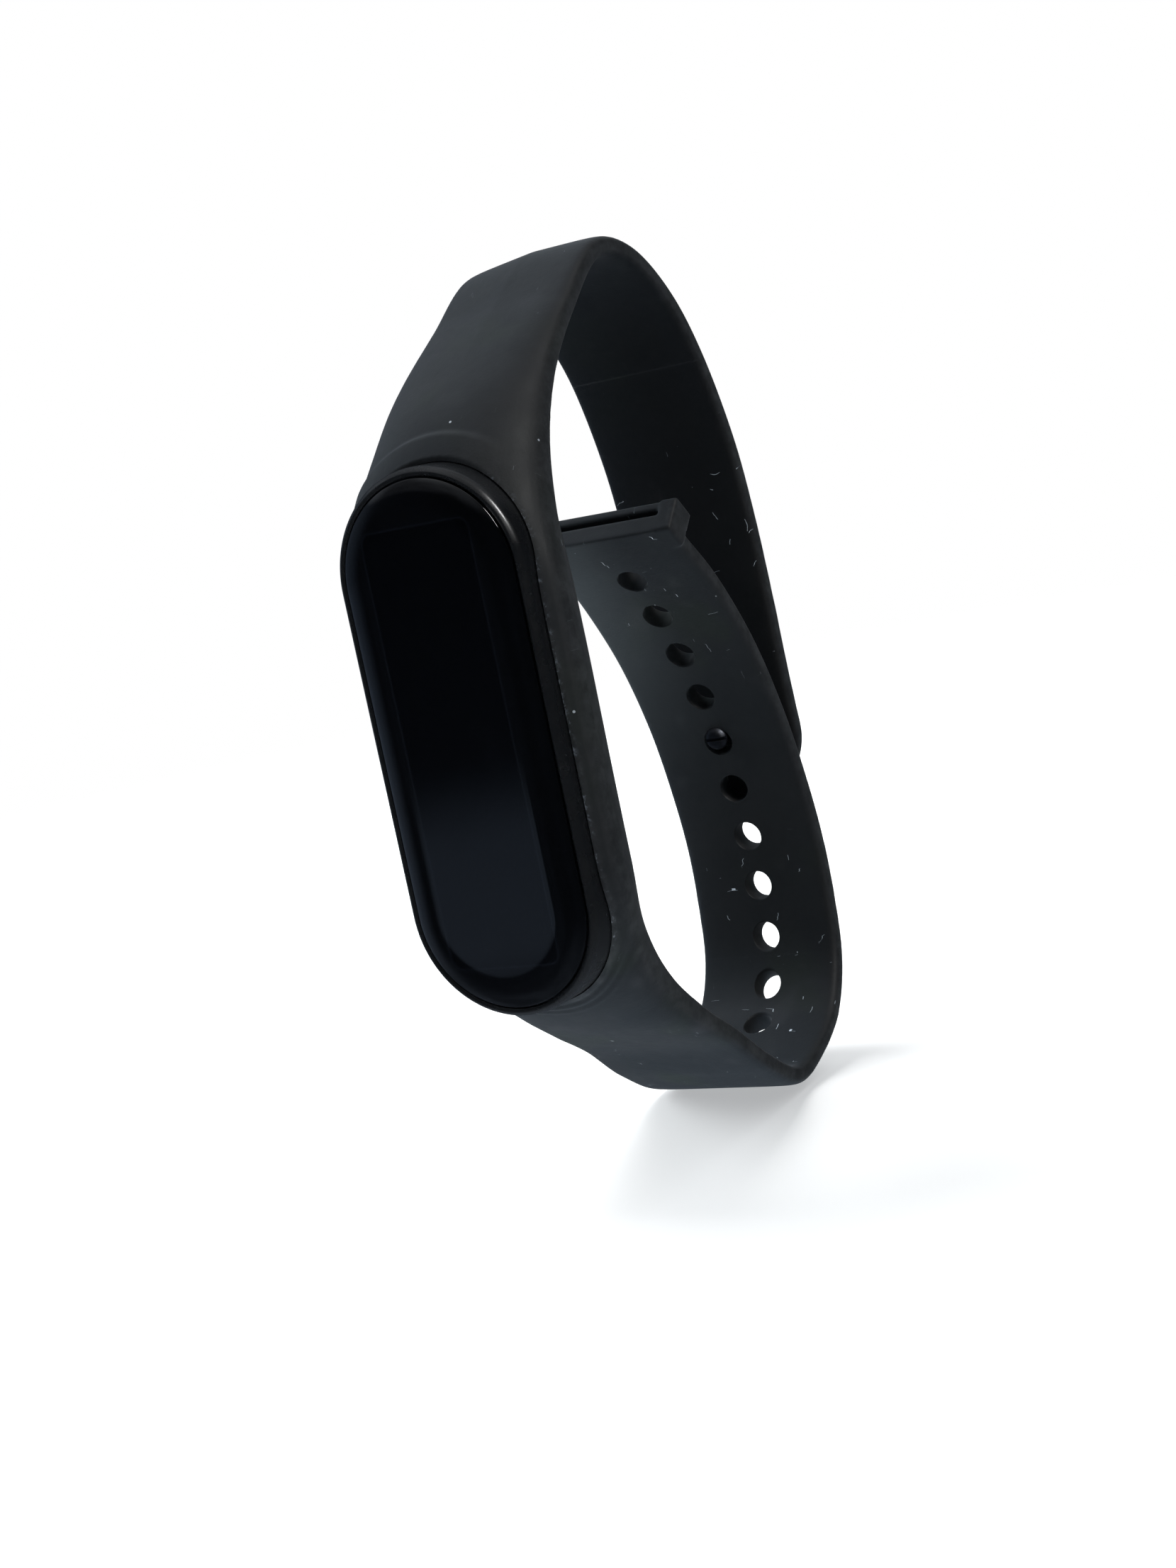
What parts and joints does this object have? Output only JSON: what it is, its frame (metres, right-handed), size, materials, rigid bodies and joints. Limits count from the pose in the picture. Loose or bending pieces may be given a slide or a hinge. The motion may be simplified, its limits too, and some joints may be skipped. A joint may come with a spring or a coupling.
{
  "type": "fitness tracker band",
  "caption": "Pill-shaped activity tracker capsule with a glass front, held in a soft rubber wristband that closes with a push stud, holes and a keeper loop.",
  "frame": {"origin": "middle of the wrist opening, level with the capsule's middle", "axes": "+X across the band, +Y from the screen towards the clasp, +Z along the capsule towards the stud strap's end"},
  "size_m": [0.0212, 0.0489, 0.08],
  "materials": {
    "band_rubber": "matte black moulded rubber",
    "stud_plastic": "matte black",
    "stud_metal": "dark satin",
    "cover_glass": "black-backed polished glass with a curved edge",
    "display_panel": "black, screen off",
    "housing_plastic": "fine satin black",
    "seal_rubber": "soft black",
    "frame_plastic": "plain moulded grey",
    "circuit_board": "green solder mask",
    "chip_plastic": "black epoxy",
    "sheet_steel": "plain sheet steel",
    "battery_foil": "pouch foil",
    "black_foam": "closed-cell foam and tape",
    "flex_cable": "amber polyimide",
    "gold_contact": "gold plated",
    "sensor_window": "dark see-through plastic",
    "led_lens": "green lens"
  },
  "bodies": {
    "band": {"wristband": "band_rubber"},
    "clasp": {"stud_strap": "band_rubber", "stud_cap": "stud_plastic", "stud_pin": "stud_metal"},
    "hole_end": {"hole_strap": "band_rubber"},
    "capsule": {"cover_glass": "cover_glass", "glass_adhesive": "black_foam", "display_panel": "display_panel", "display_foam": "black_foam", "display_flex": "flex_cable", "front_housing": "housing_plastic", "housing_seal": "seal_rubber", "rear_housing": "housing_plastic", "inner_frame": "frame_plastic", "main_board": "circuit_board", "processor_chip": "chip_plastic", "memory_chip": "chip_plastic", "motion_sensor_chip": "chip_plastic", "charger_chip": "chip_plastic", "shield_can": "sheet_steel", "antenna": "gold_contact", "battery": "battery_foil", "battery_pad": "black_foam", "protection_board": "circuit_board", "contact_board": "circuit_board", "motor_base": "circuit_board", "motor_can": "sheet_steel", "motor_shaft": "sheet_steel", "sensor_window": "sensor_window", "sensor_board": "circuit_board", "light_baffle": "black_foam", "led_upper": "led_lens", "led_lower": "led_lens", "photodiode_left": "chip_plastic", "photodiode_right": "chip_plastic", "charge_contact_left": "gold_contact", "charge_contact_right": "gold_contact"},
    "rotor": {"motor_rotor": "sheet_steel"}
  },
  "joints": [
    {"name": "clasp_flex", "type": "hinge", "parent": "band", "child": "clasp", "pos_m": [0, 0.0172, 0.0194], "axis": [1, 0, 0], "range_deg": [0, 70], "stiffness_Nm_per_rad": 0.02},
    {"name": "hole_strap_flex", "type": "hinge", "parent": "band", "child": "hole_end", "pos_m": [0, 0.01905, -0.02595], "axis": [1, 0, 0], "range_deg": [0, 16], "stiffness_Nm_per_rad": 0.05},
    {"name": "capsule_release", "type": "slide", "parent": "band", "child": "capsule", "axis": [0, -1, 0], "range_m": [0, 0.014]},
    {"name": "rotor_spin", "type": "hinge", "parent": "capsule", "child": "rotor", "pos_m": [0, -0.0202, 0.0162], "axis": [0, 1, 0], "continuous": true}
  ]
}
